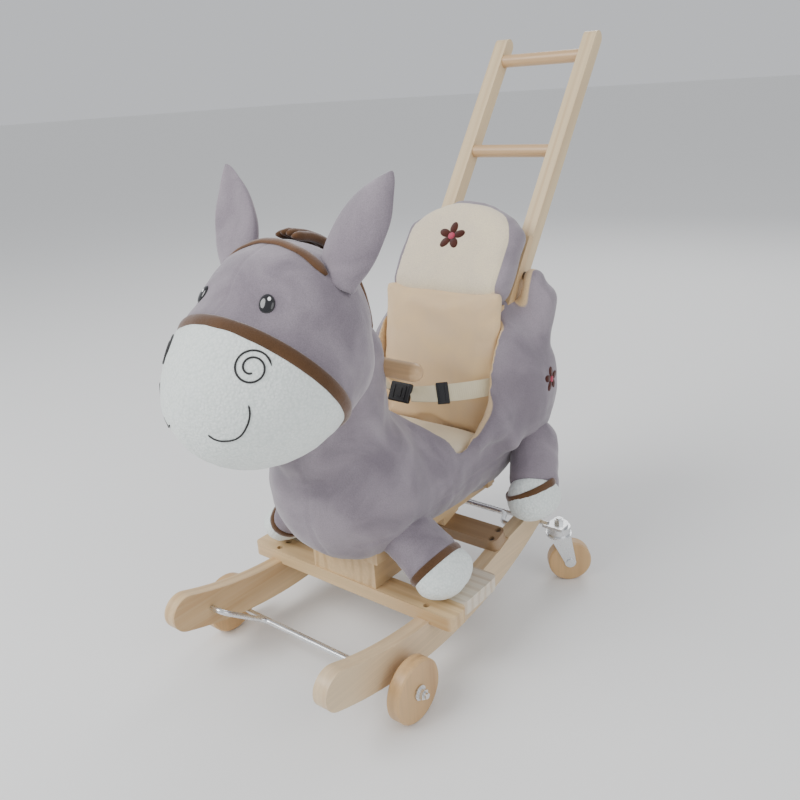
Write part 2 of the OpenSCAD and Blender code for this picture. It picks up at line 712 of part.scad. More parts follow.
// Rear caster frame: bar with a lug at each end, the crank welded along it, and the casters
module at_casters() for (side = [-1, 1]) translate([side * caster_x, caster_y, lug_z]) children();
module rear_bar() color(steel) from_axle() difference() {
    union() {
        cross_rod(rear_bar, rod_d, 2 * (caster_x - lug_r + 2));
        for (side = [-1, 1]) translate([side * caster_x, caster_y, lug_z]) {
            cylinder(r = lug_r, h = lug_t);
            translate([-lug_r - 2 * (side + 1), rear_bar_y - caster_y - rod_d, 0])
                cube([2 * lug_r + 4, lug_r, lug_t]);
        }
    }
    at_casters() translate([0, 0, -eps]) cylinder(d = stem_d + 2 * fit_gap, h = lug_t + 2 * eps);
}
module rear_crank() color(steel) from_axle() crank(rear_pivot, rear_bar);
module caster_bolts() color(steel) from_axle() at_casters() {
    translate([0, 0, crown_z - lug_z - stem_head_t - rest_gap])
        cylinder(d = 2 * stem_d - 2, h = stem_head_t);
    translate([0, 0, crown_z - lug_z - stem_head_t - rest_gap])
        cylinder(d = stem_d, h = lug_z + lug_t + stem_nut_t + 2 - crown_z + stem_head_t + rest_gap);
}
module caster_nuts() color(steel) from_axle() at_casters() translate([0, 0, lug_t]) difference() {
    cylinder(d = stem_nut_d, h = stem_nut_t, $fn = 6);
    translate([0, 0, -eps]) cylinder(d = stem_d + 2 * fit_gap, h = stem_nut_t + 2 * eps);
}

// Caster: fork with its ball race, a riveted axle pin and a wooden wheel, turned out as parked
module at_caster(side) from_axle() translate([side * caster_x, caster_y, 0])
    rotate([0, 0, side * (90 - caster_turn) + (side > 0 ? 0 : 180)]) children();
module fork(side) color(steel) at_caster(side) difference() {
    union() {
        translate([0, 0, crown_z]) cylinder(r = crown_r, h = crown_t);
        translate([0, 0, crown_z + crown_t]) cylinder(r = cup_r, h = cup_h);
        for (y = [-caster_w / 2 - side_gap - leg_t, caster_w / 2 + side_gap])
            translate([0, y + leg_t, 0]) rotate([90, 0, 0]) linear_extrude(leg_t) {
                polygon([[-leg_top, crown_z + crown_t], [leg_top, crown_z + crown_t],
                    [caster_trail + fork_end_r, caster_d / 2], [caster_trail - fork_end_r, caster_d / 2]]);
                translate([caster_trail, caster_d / 2]) circle(r = fork_end_r);
            }
    }
    translate([0, 0, crown_z - eps]) cylinder(d = stem_d + 2 * run_gap, h = crown_t + cup_h + 2 * eps);
    fork_pin(fit_gap);
}
module fork_pin(g) translate([caster_trail, 0, caster_d / 2]) rotate([90, 0, 0]) {
    l = caster_w + 2 * (side_gap + leg_t);
    cylinder(d = fork_pin_d + 2 * g, h = l + 2 * g, center = true);
}
module fork_axle(side) color(steel) at_caster(side) {
    fork_pin(0);
    for (y = [-1, 1]) translate([caster_trail, y * (caster_w / 2 + side_gap + leg_t + eps), caster_d / 2])
        rotate([90, 0, 0]) cylinder(d = fork_head_d, h = 2 * eps, center = true);
}
module fork_left() fork(1);
module fork_right() fork(-1);
module fork_axle_left() fork_axle(1);
module fork_axle_right() fork_axle(-1);
module caster_wheel(side) color(pine) at_caster(side)
    translate([caster_trail, caster_w / 2, caster_d / 2]) rotate([90, 0, 0])
        wheel(caster_d, caster_w, fork_pin_d);
module caster_wheel_left() caster_wheel(1);
module caster_wheel_right() caster_wheel(-1);

rocker_left();
rocker_right();
front_cross_board();
rear_cross_board();
pedal_left();
pedal_right();
board_screws();
chest_block();
rear_block();
spine_board();
head_post();
hand_bar();
seat_risers();
seat_board();
lower_back_board();
back_board();
brace_left();
brace_right();
rail_left();
rail_right();
handle_rungs();
handle_bolts();
body_plush();
backrest_plush();
head_plush();
muzzle_plush();
ear_left();
ear_right();
mane();
front_leg_left();
front_leg_right();
front_hoof_left();
front_hoof_right();
rear_leg_left();
rear_leg_right();
rear_hoof_left();
rear_hoof_right();
seat_cushion();
back_cushion();
belt_left();
belt_right();
belt_buckle();
front_axle();
front_crank();
axle_washers();
axle_nuts();
front_wheel_left();
front_wheel_right();
rear_bar();
rear_crank();
caster_bolts();
caster_nuts();
fork_left();
fork_right();
fork_axle_left();
fork_axle_right();
caster_wheel_left();
caster_wheel_right();
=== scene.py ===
import math
import bmesh
import bpy
import numpy as np
from mathutils import Matrix, Vector
from mathutils.bvhtree import BVHTree


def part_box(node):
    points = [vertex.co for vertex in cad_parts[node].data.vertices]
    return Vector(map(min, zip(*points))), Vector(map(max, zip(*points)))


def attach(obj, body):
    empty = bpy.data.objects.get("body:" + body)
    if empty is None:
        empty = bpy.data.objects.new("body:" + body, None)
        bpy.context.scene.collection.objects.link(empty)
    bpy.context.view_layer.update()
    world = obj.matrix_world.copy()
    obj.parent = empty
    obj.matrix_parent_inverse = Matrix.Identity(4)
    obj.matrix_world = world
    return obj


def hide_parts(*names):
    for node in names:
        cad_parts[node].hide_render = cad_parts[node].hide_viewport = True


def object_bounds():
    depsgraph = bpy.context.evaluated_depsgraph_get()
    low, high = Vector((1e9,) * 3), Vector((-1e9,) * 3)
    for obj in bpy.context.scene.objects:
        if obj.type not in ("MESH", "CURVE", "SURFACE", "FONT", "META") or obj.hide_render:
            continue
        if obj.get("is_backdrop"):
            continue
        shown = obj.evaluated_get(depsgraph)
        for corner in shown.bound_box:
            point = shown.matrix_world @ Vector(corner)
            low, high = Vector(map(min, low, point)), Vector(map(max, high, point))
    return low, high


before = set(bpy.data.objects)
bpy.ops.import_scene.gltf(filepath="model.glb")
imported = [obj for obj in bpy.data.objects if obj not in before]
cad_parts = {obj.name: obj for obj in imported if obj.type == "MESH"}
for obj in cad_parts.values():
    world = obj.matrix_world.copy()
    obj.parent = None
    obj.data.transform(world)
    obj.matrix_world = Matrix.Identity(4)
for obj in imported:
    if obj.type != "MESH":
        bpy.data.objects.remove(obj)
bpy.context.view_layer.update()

# Camera, floor and light: a pale studio floor, one large soft key light from the front left,
# a weaker one from the right, and an even pale surround. Lengths in this file are in
# millimetres from the middle of the front axle's line on the floor, and place() gives metres.
AXLE_Y = sum(corner.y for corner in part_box("front_axle")) / 2
EYE = (644.2, -583.9, 672.2)
AZIMUTH, PITCH, ROLL = math.radians(39.42), math.radians(20.51), math.radians(-3.72)
LENS = 37.26


def place(point):
    return Vector((point[0] / 1000, point[1] / 1000 + AXLE_Y, point[2] / 1000))


def studio_camera():
    ahead = Vector((-math.sin(AZIMUTH) * math.cos(PITCH), math.cos(AZIMUTH) * math.cos(PITCH),
                    -math.sin(PITCH)))
    level = Vector((math.cos(AZIMUTH), math.sin(AZIMUTH), 0))
    over = level.cross(ahead)
    right = math.cos(ROLL) * level + math.sin(ROLL) * over
    up = -math.sin(ROLL) * level + math.cos(ROLL) * over
    data = bpy.data.cameras.new("camera")
    data.lens, data.sensor_width, data.clip_start = LENS, 36, 0.01
    camera = bpy.data.objects.new("camera", data)
    bpy.context.scene.collection.objects.link(camera)
    camera.matrix_world = Matrix((right, up, -ahead)).transposed().to_4x4()
    camera.location = place(EYE)
    bpy.context.scene.camera = camera


def area_light(name, at, towards, size, power):
    data = bpy.data.lights.new(name, "AREA")
    data.shape, data.size, data.energy = "DISK", size, power
    light = bpy.data.objects.new(name, data)
    bpy.context.scene.collection.objects.link(light)
    light.location = Vector(at)
    light.rotation_euler = (Vector(towards) - Vector(at)).to_track_quat("-Z", "Y").to_euler()
    light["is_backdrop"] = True


studio_camera()
area_light("key_light", (-0.9, -1.9, 2.1), (0, 0, 0.3), 1.8, 62)
area_light("fill_light", (2.3, -0.4, 1.5), (0, 0, 0.3), 2.0, 17)
area_light("back_light", (-0.4, 2.2, 1.9), (0, 0, 0.4), 1.6, 20)
world = bpy.data.worlds.new("surround")
bpy.context.scene.world = world
world.use_nodes = True
world.node_tree.nodes["Background"].inputs["Color"].default_value = (0.94, 0.96, 1.0, 1)
world.node_tree.nodes["Background"].inputs["Strength"].default_value = 0.7

bm = bmesh.new()
bmesh.ops.create_grid(bm, x_segments=1, y_segments=1, size=60)
floor_mesh = bpy.data.meshes.new("floor")
bm.to_mesh(floor_mesh)
bm.free()
floor = bpy.data.objects.new("floor", floor_mesh)
bpy.context.scene.collection.objects.link(floor)
floor.location.z = -0.0005
floor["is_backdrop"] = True
floor_paint = bpy.data.materials.new("floor_paint")
floor_paint.use_nodes = True
floor_paint.node_tree.nodes["Principled BSDF"].inputs["Base Color"].default_value = (0.86, 0.86, 0.85, 1)
floor_paint.node_tree.nodes["Principled BSDF"].inputs["Roughness"].default_value = 0.8
floor_mesh.materials.append(floor_paint)

# Wooden parts: planed pine rockers, boards and rails, with turned hardwood for the bars and the
# wheels, all under a thin clear lacquer. The CAD parts keep their shape and get a grain that
# runs along each piece, with a few darker growth lines. The near rocker gets a paler, greyer copy
# of the pine, which is painted light on its outer face, and a darker warm patch of painted shade
# under the front cross board.
GRAIN_Y = (0, 0, 0)
GRAIN_X = (0, 0, math.pi / 2)
GRAIN_Z = (math.pi / 2, 0, 0)
GRAIN_RAIL = (math.radians(90 - 35.4), 0, 0)


class Finish:
    """A material under construction: nodes are added to it, and it ends at a Principled shader."""

    def __init__(self, name, colour, roughness, **sockets):
        self.material = bpy.data.materials.new(name)
        self.material.use_nodes = True
        self.tree = self.material.node_tree
        self.shader = self.tree.nodes["Principled BSDF"]
        self.set("Base Color", (*colour, 1))
        self.set("Roughness", roughness)
        for socket, value in sockets.items():
            self.set(socket.replace("_", " "), value)

    def set(self, socket, value):
        self.shader.inputs[socket].default_value = value

    def node(self, kind, links=(), **values):
        made = self.tree.nodes.new("ShaderNode" + kind)
        for key, value in values.items():
            if key in made.inputs:
                made.inputs[key].default_value = value
            else:
                setattr(made, key, value)
        for socket, source in links:
            self.tree.links.new(source, made.inputs[socket])
        return made

    def place(self, turn=(0, 0, 0), size=(1, 1, 1), centre=(0, 0, 0)):
        """Object coordinates, moved to centre, turned and then stretched."""
        points = self.node("TexCoord")
        turned = self.node("Mapping", [("Vector", points.outputs["Object"])], vector_type="TEXTURE",
                           Location=centre, Rotation=turn)
        return self.node("Mapping", [("Vector", turned.outputs[0])], Scale=size).outputs[0]

    def noise(self, where, scale, detail=3.0, distortion=0.0):
        return self.node("TexNoise", [("Vector", where)], Scale=scale, Detail=detail,
                         Distortion=distortion).outputs["Fac"]

    def ramp(self, source, *stops):
        made = self.node("ValToRGB", [("Fac", source)])
        elements = made.color_ramp.elements
        while len(elements) < len(stops):
            elements.new(0.5)
        for element, (position, colour) in zip(elements, stops):
            element.position = position
            element.color = (*colour, 1) if len(colour) == 3 else colour
        return made.outputs["Color"]

    def mix(self, factor, one, two, blend="MIX"):
        made = self.node("Mix", data_type="RGBA", blend_type=blend)
        for index, source in ((0, factor), (6, one), (7, two)):
            if isinstance(source, (int, float)):
                made.inputs[index].default_value = source
            elif isinstance(source, tuple):
                made.inputs[index].default_value = (*source, 1)
            else:
                self.tree.links.new(source, made.inputs[index])
        return made.outputs[2]

    def colour(self, source):
        self.tree.links.new(source, self.shader.inputs["Base Color"])

    def rough(self, source, low, high):
        spread = self.node("MapRange", [("Value", source)])
        spread.inputs["To Min"].default_value = low
        spread.inputs["To Max"].default_value = high
        self.tree.links.new(spread.outputs[0], self.shader.inputs["Roughness"])

    def bump(self, source, distance, strength=1.0):
        made = self.node("Bump", [("Height", source)], Distance=distance, Strength=strength)
        self.tree.links.new(made.outputs["Normal"], self.shader.inputs["Normal"])


def wood(name, pale, warm, turn, painted_shade=0.0, painted_shade_at=(0, 0, 0), rough=0.42, lines=1.0):
    """Planed wood whose grain runs along the Y axis once it is turned."""
    made = Finish(name, pale, rough, Coat_Weight=0.25, Coat_Roughness=0.3)
    along = made.place(turn, (1, 0.07, 1))
    broad = made.noise(along, 14, 2.0, 0.6)
    fine = made.noise(made.place(turn, (1, 0.03, 1)), 260, 4.0, 0.3)
    bands = made.node("TexWave", [("Vector", made.place(turn, (1, 0.06, 0.6)))], Scale=22.0,
                      Distortion=5.5, Detail=2.5, wave_type="BANDS", bands_direction="X")
    growth = made.ramp(bands.outputs["Fac"], (0.0, warm), (0.55, pale), (1.0, pale))
    body = made.mix(made.ramp(broad, (0.35, (0, 0, 0)), (0.7, (1, 1, 1))), pale, growth)
    line_dark = tuple(c * (1 - 0.16 * lines) for c in pale)
    body = made.mix(made.ramp(fine, (0.42, (0.55, 0.55, 0.55)), (0.62, (0, 0, 0))), body, line_dark)
    # A darker warm patch made here is painted shade, not a streak in the wood.
    if painted_shade:
        spot = made.place(turn, (1, 0.16, 1), painted_shade_at)
        length = made.node("VectorMath", [(0, spot)], operation="LENGTH").outputs["Value"]
        core = made.ramp(length, (0.0, (painted_shade,) * 3), (0.02, (0, 0, 0)))
        body = made.mix(core, body, tuple(c * 0.5 for c in warm))
    made.colour(body)
    made.rough(fine, rough - 0.06, rough + 0.1)
    made.bump(fine, 0.0002, 0.5)
    return made.material


def dress(material, *nodes):
    for name in nodes:
        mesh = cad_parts[name].data
        mesh.materials.clear()
        mesh.materials.append(material)


PALE_PINE, WARM_PINE = (0.70, 0.50, 0.27), (0.42, 0.23, 0.09)
HONEY, HONEY_DARK = (0.62, 0.39, 0.18), (0.28, 0.13, 0.05)
# The near rocker's paler, greyer pine is painted light on its lit outer face, and its darker warm patch is painted
# shade under the front cross board.
dress(wood("pine_along", (0.70, 0.53, 0.33), WARM_PINE, GRAIN_Y, 0.5, (-0.13, -0.1, 0.06)), "rocker_left")
dress(wood("pine_along_far", PALE_PINE, WARM_PINE, GRAIN_Y), "rocker_right", "chest_block", "rear_block",
      "spine_board", "seat_board")
dress(wood("pine_across", PALE_PINE, WARM_PINE, GRAIN_X), "front_cross_board", "seat_risers")
dress(wood("dark_board", (0.34, 0.22, 0.12), (0.16, 0.08, 0.04), GRAIN_X), "rear_cross_board")
dress(wood("pedal_pine", (0.74, 0.66, 0.54), (0.52, 0.38, 0.24), GRAIN_X, rough=0.5), "pedal_left", "pedal_right")
dress(wood("pine_upright", PALE_PINE, WARM_PINE, GRAIN_Z), "head_post", "brace_left", "brace_right",
      "lower_back_board", "back_board")
dress(wood("rail_pine", (0.74, 0.57, 0.34), (0.50, 0.32, 0.15), GRAIN_RAIL, lines=0.7), "rail_left", "rail_right")
dress(wood("turned_bar", (0.60, 0.39, 0.20), (0.40, 0.22, 0.09), GRAIN_X, rough=0.35), "hand_bar", "handle_rungs")
dress(wood("wheel_wood", HONEY, HONEY_DARK, GRAIN_Z, rough=0.4), "front_wheel_left", "front_wheel_right",
      "caster_wheel_left", "caster_wheel_right")


# Steel parts: bright zinc-plated rods, nuts, washers and casters, and duller wood screws. The
# cranks are redrawn as rods bent to a smooth curve, because they are bent cold in one piece.
def steel(name, colour, roughness):
    made = Finish(name, colour, roughness, Metallic=1.0)
    scratches = made.noise(made.place(size=(1, 6, 1)), 90, 3.0)
    made.rough(scratches, roughness - 0.06, roughness + 0.14)
    made.bump(scratches, 0.00005, 0.4)
    return made.material


bright_zinc = steel("bright_zinc", (0.74, 0.75, 0.76), 0.24)
dress(bright_zinc, "front_axle", "axle_washers", "axle_nuts", "rear_bar", "caster_bolts", "caster_nuts",
      "fork_left", "fork_right", "fork_axle_left", "fork_axle_right", "front_crank", "rear_crank")
dress(steel("screw_steel", (0.22, 0.20, 0.18), 0.4), "board_screws", "handle_bolts")


def show(name, bm, materials, body="base", smooth=True):
    """Makes the finished bmesh, drawn in millimetres from the axle, an object that rides on a body."""
    bmesh.ops.transform(bm, matrix=Matrix.Translation((0, AXLE_Y, 0)) @ Matrix.Scale(0.001, 4), verts=bm.verts)
    mesh = bpy.data.meshes.new(name)
    bm.to_mesh(mesh)
    bm.free()
    for face in mesh.polygons:
        face.use_smooth = smooth
    for material in materials:
        mesh.materials.append(material)
    made = bpy.data.objects.new(name, mesh)
    bpy.context.scene.collection.objects.link(made)
    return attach(made, body)


def tube(bm, path, radius, sides=12, closed=False, flat=1.0, up=None):
    """Sweeps a ring of vertices along a path and bridges each ring to the next."""
    rings, points = [], [Vector(p) for p in path]
    count = len(points)
    for i, point in enumerate(points):
        before = points[(i - 1) % count] if closed or i else point
        after = points[(i + 1) % count] if closed or i < count - 1 else point
        ahead = (after - before).normalized()
        over = Vector(up[i]) if up is not None else (
            Vector((0, 0, 1)) if abs(ahead.z) < 0.9 else Vector((0, 1, 0)))
        side = ahead.cross(over).normalized()
        over = side.cross(ahead).normalized()
        r = radius[i] if hasattr(radius, "__len__") else radius
        made = bmesh.ops.create_circle(bm, segments=sides, radius=1, cap_ends=False)["verts"]
        for vert in made:
            vert.co = point + side * vert.co.x * r + over * vert.co.y * r * flat
        rings.append(made)
    pairs = list(zip(rings, rings[1:])) + ([(rings[-1], rings[0])] if closed else [])
    for one, two in pairs:
        for k in range(sides):
            bm.faces.new((one[k], one[(k + 1) % sides], two[(k + 1) % sides], two[k]))
    if not closed:
        bm.faces.new(list(reversed(rings[0])))
        bm.faces.new(rings[-1])
    bmesh.ops.recalc_face_normals(bm, faces=bm.faces)


def bent_rod(name, pivot, axle, body):
    """A crank: from the hole in each rocker, down to the weld beside the axle."""
    pivot, axle = Vector((0, *pivot)), Vector((0, *axle))
    weld = axle + (pivot - axle).normalized() * 6.8
    corners = [pivot + Vector((126.5, 0, 0)), pivot + Vector((96, 0, 0)), weld + Vector((79, 0, 0))]
    corners += [Vector((-c.x, c.y, c.z)) for c in reversed(corners)]
    path = [corners[0]]
    for before, corner, after in zip(corners, corners[1:], corners[2:]):
        enter = corner + (before - corner).normalized() * 11
        leave = corner + (after - corner).normalized() * 11
        path += [enter.lerp(corner, t).lerp(corner.lerp(leave, t), t) for t in np.linspace(0, 1, 9)]
    path.append(corners[-1])
    bm = bmesh.new()
    tube(bm, path, 3.5, 20)
    return show(name, bm, [bright_zinc], body)


front_bend = bent_rod("front_bent_rod", (-58, 78.6), (0, 38.5), "front_wheel_frame")
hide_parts("front_crank")
rear_bend = bent_rod("rear_bent_rod", (290, 97.8), (334, 88.1), "rear_caster_frame")
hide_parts("rear_crank")

# Plush body: grey-lilac velour over stuffing, sewn from panels. The chest, belly, rump and the
# two wings beside the seat are one stuffed skin, hollowed for the seat and lined there in tan.
VELOUR = (0.335, 0.29, 0.33)
VELOUR_DARK = (0.235, 0.20, 0.235)
TAN = (0.80, 0.58, 0.32)
CREAM = (0.88, 0.76, 0.54)


def pile(name, colour, dark, scale=1.0, sheen=0.55, height=0.00035):
    """Short-pile cloth: soft mottling where the pile is brushed, a fine nap and a pale sheen."""
    made = Finish(name, colour, 0.95, Sheen_Weight=sheen, Sheen_Roughness=0.45, Specular_IOR_Level=0.15)
    made.set("Sheen Tint", (1.0, 0.97, 1.0, 1))
    where = made.place()
    brushed = made.ramp(made.noise(where, 16 * scale, 4.0, 0.8), (0.36, dark), (0.66, colour))
    nap = made.noise(where, 900, 2.0)
    shade = made.ramp(nap, (0.35, (0.82, 0.82, 0.82)), (0.65, (1, 1, 1)))
    made.colour(made.mix(1.0, brushed, shade, "MULTIPLY"))
    mid = made.noise(where, 260 * scale, 3.0)
    both = made.node("Math", [(0, nap), (1, mid)], operation="ADD").outputs[0]
    made.bump(both, height, 0.8)
    return made.material


def lined(name, inner, inner_dark):
    """Grey velour with a second cloth sewn in: the lining attribute is the distance past the seam."""
    made = Finish(name, VELOUR, 0.95, Sheen_Weight=0.4, Sheen_Roughness=0.5, Specular_IOR_Level=0.15)
    where = made.place()
    brushed = made.noise(where, 16, 4.0, 0.8)
    outer = made.ramp(brushed, (0.36, VELOUR_DARK), (0.66, VELOUR))
    inside = made.ramp(brushed, (0.36, inner_dark), (0.66, inner))
    past_seam = made.node("Attribute", attribute_name="lining").outputs["Fac"]
    side = made.node("MapRange", [("Value", past_seam)])
    side.inputs["From Min"].default_value = -0.5
    side.inputs["From Max"].default_value = 0.5
    nap = made.noise(where, 900, 2.0)
    shade = made.ramp(nap, (0.35, (0.84,) * 3), (0.65, (1, 1, 1)))
    made.colour(made.mix(1.0, made.mix(side.outputs[0], outer, inside), shade, "MULTIPLY"))
    made.bump(nap, 0.0003, 0.7)
    return made.material


def set_lining(made, distance):
    attribute = made.data.attributes.new("lining", "FLOAT", "POINT")
    attribute.data.foreach_set("value", np.asarray(distance, np.float32))


def weave(name, colour, dark):
    """Smooth brushed cloth with a fine, even weave."""
    made = Finish(name, colour, 0.9, Sheen_Weight=0.25, Sheen_Roughness=0.5, Specular_IOR_Level=0.2)
    where = made.place()
    soft = made.ramp(made.noise(where, 22, 3.0, 0.4), (0.35, dark), (0.65, colour))
    thread = made.node("TexWave", [("Vector", made.place((0.3, 0.2, 0.78)))], Scale=420.0, Distortion=1.2)
    made.colour(made.mix(0.12, soft, made.ramp(thread.outputs["Fac"], (0.3, dark), (0.7, colour))))
    made.bump(made.noise(where, 700, 2.0), 0.0002, 0.5)
    return made.material


velour = pile("grey_velour", VELOUR, VELOUR_DARK)
brown_velour = pile("brown_velour", (0.15, 0.075, 0.035), (0.10, 0.05, 0.022))
tan_cloth = weave("tan_cloth", TAN, (0.72, 0.53, 0.33))
cream_cloth = weave("cream_cloth", CREAM, (0.80, 0.69, 0.52))


def ball(bm, centre, sizes, tilt=0.0, turn=0.0):
    """A stuffed form: a ball stretched to half-sizes, tilted about X and turned about Y, in degrees."""
    matrix = (Matrix.Translation(centre) @ Matrix.Rotation(math.radians(turn), 4, "Y")
              @ Matrix.Rotation(math.radians(tilt), 4, "X") @ Matrix.Diagonal((*sizes, 1)))
    bmesh.ops.create_icosphere(bm, subdivisions=4, radius=1, matrix=matrix)


def roll(bm, one, two, r1, r2, steps=7):
    """A stuffed roll between two points: a row of balls that the remesh joins."""
    for t in np.linspace(0, 1, steps):
        r = [a + (b - a) * t for a, b in zip(r1, r2)]
        ball(bm, Vector(one).lerp(Vector(two), t), r)


def settle(made, *modifiers):
    """Adds modifiers, given as (type, values), and applies them in turn."""
    for kind, values in modifiers:
        modifier = made.modifiers.new(kind.lower(), kind)
        for key, value in values.items():
            setattr(modifier, key, value)
        graph = bpy.context.evaluated_depsgraph_get()
        mesh = bpy.data.meshes.new_from_object(made.evaluated_get(graph))
        made.modifiers.clear()
        old, made.data = made.data, mesh
        bpy.data.meshes.remove(old)
    for face in made.data.polygons:
        face.use_smooth = True


def fuse(made, voxel, rounds, factor=0.5):
    """Joins overlapping forms into one skin and relaxes the creases between them."""
    settle(made, ("REMESH", dict(mode="VOXEL", voxel_size=voxel / 1000)),
           ("SMOOTH", dict(factor=factor, iterations=rounds)))


def carve(made, bm):
    """Cuts the closed bmesh bm, drawn in millimetres from the axle, out of a piece."""
    tool = show("cutter", bm, [])
    settle(made, ("BOOLEAN", dict(operation="DIFFERENCE", object=tool, solver="EXACT")))
    bpy.data.objects.remove(tool)


def points_of(made):
    flat = np.empty(len(made.data.vertices) * 3, np.float32)
    made.data.vertices.foreach_get("co", flat)
    points = flat.reshape(-1, 3).astype(float) * 1000
    points[:, 1] -= AXLE_Y * 1000
    flat = np.empty(len(made.data.vertices) * 3, np.float32)
    made.data.vertices.foreach_get("normal", flat)
    return points, flat.reshape(-1, 3).astype(float)


def move_to(made, points):
    points = points / 1000
    points[:, 1] += AXLE_Y
    made.data.vertices.foreach_set("co", points.astype(np.float32).ravel())
    made.data.update()


def ripple(points, size, seed):
    """A smooth random height from -1 to 1 that varies over about the given length."""
    rng = np.random.default_rng(seed)
    total = 0
    for _ in range(7):
        direction = rng.normal(size=3)
        direction /= np.linalg.norm(direction)
        total = total + np.sin(points @ direction * (2 * math.pi / size) * rng.uniform(0.6, 1.4) + rng.uniform(0, 6.3))
    return total / 3.2


def crease(points, normals, distance, depth, width):
    """Presses a sewn seam into the skin where distance, in millimetres from the seam, is zero."""
    return points - normals * (depth * np.exp(-(distance / width) ** 2))[:, None]


def colour_faces(made, pick):
    """Gives each face the material slot that pick(centres, normals) says."""
    count = len(made.data.polygons)
    centres, normals = np.empty(count * 3, np.float32), np.empty(count * 3, np.float32)
    made.data.polygons.foreach_get("center", centres)
    made.data.polygons.foreach_get("normal", normals)
    centres = centres.reshape(-1, 3).astype(float) * 1000
    centres[:, 1] -= AXLE_Y * 1000
    made.data.polygons.foreach_set("material_index", pick(centres, normals.reshape(-1, 3)).astype(np.int32))
    made.data.update()


def puff(made, pressure=4.0, cap=6.0, frames=20, pinned=None):
    """Swells a stuffed piece as cloth under pressure, moving no point further than cap."""
    before, _ = points_of(made)
    cloth = made.modifiers.new("cloth", "CLOTH")
    cloth.settings.quality = 5
    cloth.settings.mass = 0.3
    cloth.settings.use_pressure = True
    cloth.settings.uniform_pressure_force = pressure
    cloth.settings.effector_weights.gravity = 0
    if pinned is not None:
        group = made.vertex_groups.new(name="seam")
        for index in np.nonzero(pinned(before))[0]:
            group.add([int(index)], 1.0, "REPLACE")
        cloth.settings.vertex_group_mass = "seam"
    scene = bpy.context.scene
    for frame_number in range(1, frames + 1):
        scene.frame_set(frame_number)
    graph = bpy.context.evaluated_depsgraph_get()
    moved = np.array([v.co for v in made.evaluated_get(graph).data.vertices], float) * 1000
    moved[:, 1] -= AXLE_Y * 1000
    step = moved - before
    length = np.linalg.norm(step, axis=1, keepdims=True)
    made.modifiers.clear()
    scene.frame_set(1)
    move_to(made, before + step * np.minimum(1, cap / np.maximum(length, 1e-9)))


LOWER_FRONT = (283.0, 217.0, math.tan(math.radians(9)))
SEAT_HALF = 94.0


def body_forms(bm):
    ball(bm, (0, 90, 225), (100, 95, 100))
    roll(bm, (0, 95, 215), (0, 300, 215), (98, 92, 88), (105, 100, 90), 9)
    roll(bm, (0, 62, 300), (0, 56, 366), (72, 72, 72), (77, 77, 77), 5)
    roll(bm, (0, 84, 290), (0, 78, 392), (66, 56, 60), (66, 54, 50), 7)
    ball(bm, (0, 338, 288), (146, 100, 136))
    for side in (-1, 1):
        for one, two, r1, r2 in (((101, 374, 428), (107, 352, 368), 15, 16), ((107, 362, 372), (104, 302, 303), 16, 14),
                                 ((104, 302, 303), (102, 228, 242), 14, 12), ((112, 372, 388), (108, 290, 232), 22, 22),
                                 ((112, 378, 400), (108, 300, 290), 20, 20), ((116, 345, 340), (106, 262, 250), 20, 16),
                                 ((112, 330, 330), (104, 250, 250), 17, 14)):
            roll(bm, (side * one[0], *one[1:]), (side * two[0], *two[1:]), (r1,) * 3, (r2,) * 3, 16)


bm = bmesh.new()
body_forms(bm)
body = show("plush_body", bm, [lined("velour_lined_tan", TAN, (0.72, 0.53, 0.33))])
fuse(body, 5, 6)


def prism(bm, half, outline):
    """A block of the side view given as (y, z), reaching half to each side of the middle."""
    verts = [bm.verts.new((-half, y, z)) for y, z in outline]
    face = bm.faces.new(verts)
    made = bmesh.ops.extrude_face_region(bm, geom=[face])["geom"]
    bmesh.ops.translate(bm, vec=(2 * half, 0, 0), verts=[g for g in made if isinstance(g, bmesh.types.BMVert)])
    bmesh.ops.recalc_face_normals(bm, faces=bm.faces)


bm = bmesh.new()
prism(bm, SEAT_HALF, [(189, 216), (283, 216), (309, 392), (330, 430), (520, 560), (189, 560)])
carve(body, bm)
bm = bmesh.new()
prism(bm, 135, [(143, 420), (143, 330), (152, 292), (189, 254), (214, 250), (226, 262), (232, 420)])
carve(body, bm)
fuse(body, 4, 6)
points, normals = points_of(body)
points += normals * (1.3 * ripple(points, 62, 3) + 0.5 * ripple(points, 24, 4))[:, None]
points = crease(points, normals, np.where(points[:, 2] < 300, points[:, 0] - 18 * (points[:, 1] < 110), 99), 1.6, 2.2)
points = crease(points, normals, np.where(np.abs(points[:, 0]) > 55, points[:, 1] - 176 + 0.35 * (points[:, 2] - 200), 99), 1.8, 2.4)
points = crease(points, normals, np.where(np.abs(points[:, 0]) > 60, points[:, 2] - 196 - 0.1 * (points[:, 1] - 200), 99), 1.5, 2.2)
points[:, 2] = np.maximum(points[:, 2], 118)
move_to(body, points)


points, normals = points_of(body)
wing_back = 312 + 0.75 * (points[:, 2] - 290)
faces_in = np.where(np.abs(points[:, 0]) < 60, 5, 1 - 7 * normals[:, 0] * np.sign(points[:, 0]))
lining = np.minimum(faces_in, np.minimum(points[:, 1] - 197, wing_back - points[:, 1]))
lining = np.where(points[:, 2] > 205, lining, -5)
move_to(body, crease(points, normals, lining, 1.6, 2.2))
set_lining(body, lining)
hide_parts("body_plush")

# Seat cushion: a cream boxed cushion, crowned in the middle, that lies on the seat board and
# is held by the wings on both sides.
def box_form(bm, low, high):
    bmesh.ops.create_cube(bm, size=1, matrix=Matrix.Translation([(a + b) / 2 for a, b in zip(low, high)])
                          @ Matrix.Diagonal([b - a for a, b in zip(low, high)] + [1]))


